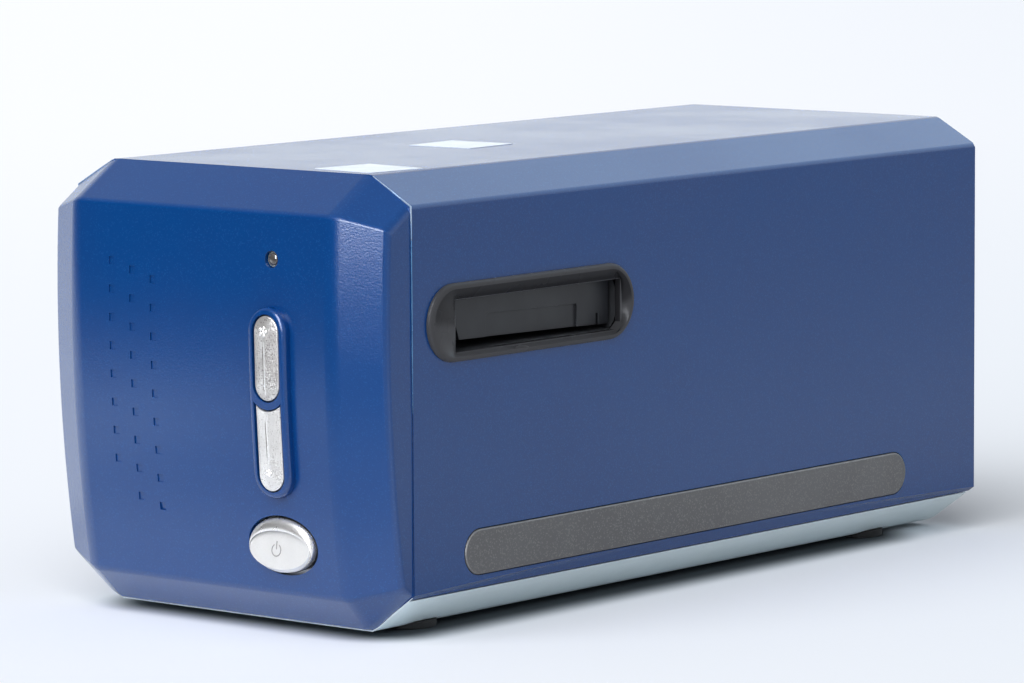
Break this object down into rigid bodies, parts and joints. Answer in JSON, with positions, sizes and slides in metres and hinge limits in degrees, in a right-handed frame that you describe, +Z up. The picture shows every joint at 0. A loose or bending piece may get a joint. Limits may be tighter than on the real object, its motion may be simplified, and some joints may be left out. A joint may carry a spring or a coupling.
{
  "type": "desktop film negative scanner",
  "caption": "Slim blue desktop film scanner with a straight film passage, spring-loaded dust doors, silver scan buttons and a sliding optics carriage.",
  "frame": {"origin": "centre of the bounding box in plan, on the table plane under the rubber feet", "axes": "+X to the right as seen from the front, across the housing and along the film passage; +Y from the button face to the rear panel; +Z up"},
  "size_m": [0.12, 0.2698, 0.1206],
  "materials": {
    "blue_shell": "semi-gloss moulded plastic, fine grain with a faint metallic sparkle",
    "silver_base": "satin silver paint",
    "dark_panel": "fine matte grain",
    "black_trim": "satin black moulding",
    "pad_rubber": "matte, slightly dusty",
    "foot_rubber": "matte",
    "zinc_sheet": "zinc-plated sheet",
    "black_frame": "glass-filled moulding, matte",
    "door_grey": "fine matte grain",
    "bright_steel": "ground and polished",
    "screw_steel": "nickel plated",
    "motor_case": "drawn sheet",
    "bronze": "machined",
    "circuit_green": "solder mask on glass-fibre board",
    "black_component": "moulded",
    "silver_button": "fine-grained satin silver paint",
    "cream_plastic": "acetal",
    "clear_plastic": "clear polycarbonate",
    "milky_plastic": "milky acrylic",
    "white_part": "white moulding and white board",
    "label_white": "blank white film label",
    "mirror_glass": "front-surface mirror",
    "lens_glass": "coated glass"
  },
  "bodies": {
    "root": {"front_bezel": "blue_shell", "top_cover": "blue_shell", "base_tray": "silver_base", "rear_panel": "dark_panel", "slot_trim_right": "black_trim", "slot_trim_left": "black_trim", "side_pad_right": "pad_rubber", "side_pad_left": "pad_rubber", "rubber_feet": "foot_rubber", "front_frame": "zinc_sheet", "rear_frame": "zinc_sheet", "film_deck": "black_frame", "channel_rail_front": "black_frame", "channel_rail_rear": "black_frame", "film_hood": "black_frame", "door_shafts": "bright_steel", "door_springs": "bright_steel", "guide_rods": "bright_steel", "stepper_motor": "motor_case", "screw_bearing": "bronze", "main_board": "circuit_green", "board_parts": "black_component", "usb_socket": "motor_case", "power_jack": "black_component", "button_board": "circuit_green", "button_switches": "black_component", "status_led": "clear_plastic", "light_pipe": "clear_plastic", "home_sensor": "black_component", "bezel_screws": "screw_steel", "frame_screws": "screw_steel", "deck_screws": "screw_steel", "rear_screws": "screw_steel", "board_screws": "screw_steel", "top_labels": "label_white"},
    "upper_button": {"scan_button_upper": "silver_button", "plunger_upper": "cream_plastic"},
    "lower_button": {"scan_button_lower": "silver_button", "plunger_lower": "cream_plastic"},
    "power_switch": {"power_button": "silver_button", "plunger_power": "cream_plastic"},
    "right_door": {"dust_door_right": "door_grey"},
    "left_door": {"dust_door_left": "door_grey"},
    "carriage": {"optics_carriage": "black_frame", "fold_mirror": "mirror_glass", "lens_barrel": "black_frame", "lens_glass": "lens_glass", "sensor_board": "circuit_green", "line_sensor": "black_component", "lamp_post": "black_frame", "lamp_arm": "zinc_sheet", "lamp_housing": "white_part", "lamp_board": "white_part", "lamp_diffuser": "milky_plastic", "carriage_bushes": "bronze", "drive_nut": "cream_plastic", "carriage_screws": "screw_steel"},
    "drive_screw": {"lead_screw": "bright_steel", "shaft_coupler": "bronze", "motor_shaft": "bright_steel"}
  },
  "joints": [
    {"name": "upper_button_press", "type": "slide", "parent": "root", "child": "upper_button", "axis": [0, 1, 0], "range_m": [0, 0.0006], "stiffness_N_per_m": 2000, "springref_m": -0.0003},
    {"name": "lower_button_press", "type": "slide", "parent": "root", "child": "lower_button", "axis": [0, 1, 0], "range_m": [0, 0.0006], "stiffness_N_per_m": 2000, "springref_m": -0.0003},
    {"name": "power_button_press", "type": "slide", "parent": "root", "child": "power_switch", "axis": [0, 1, 0], "range_m": [0, 0.0009], "stiffness_N_per_m": 1600, "springref_m": -0.0004},
    {"name": "right_door_swing", "type": "hinge", "parent": "root", "child": "right_door", "pos_m": [0.0534, -0.06275, 0.0885], "axis": [0, 1, 0], "range_deg": [0, 88], "stiffness_Nm_per_rad": 0.0004, "springref_deg": -20.05},
    {"name": "left_door_swing", "type": "hinge", "parent": "root", "child": "left_door", "pos_m": [-0.0406, -0.06275, 0.0885], "axis": [0, 1, 0], "range_deg": [0, 88], "stiffness_Nm_per_rad": 0.0004, "springref_deg": -20.05},
    {"name": "carriage_travel", "type": "slide", "parent": "root", "child": "carriage", "axis": [0, 1, 0], "range_m": [0, 0.03]},
    {"name": "screw_turn", "type": "hinge", "parent": "root", "child": "drive_screw", "pos_m": [0, -0.01545, 0.0224], "axis": [0, 1, 0], "range_deg": [-5402, 0]}
  ],
  "couplings": [
    {"joint": "screw_turn", "follows": "carriage_travel", "rad_per_m": -3141.6}
  ]
}
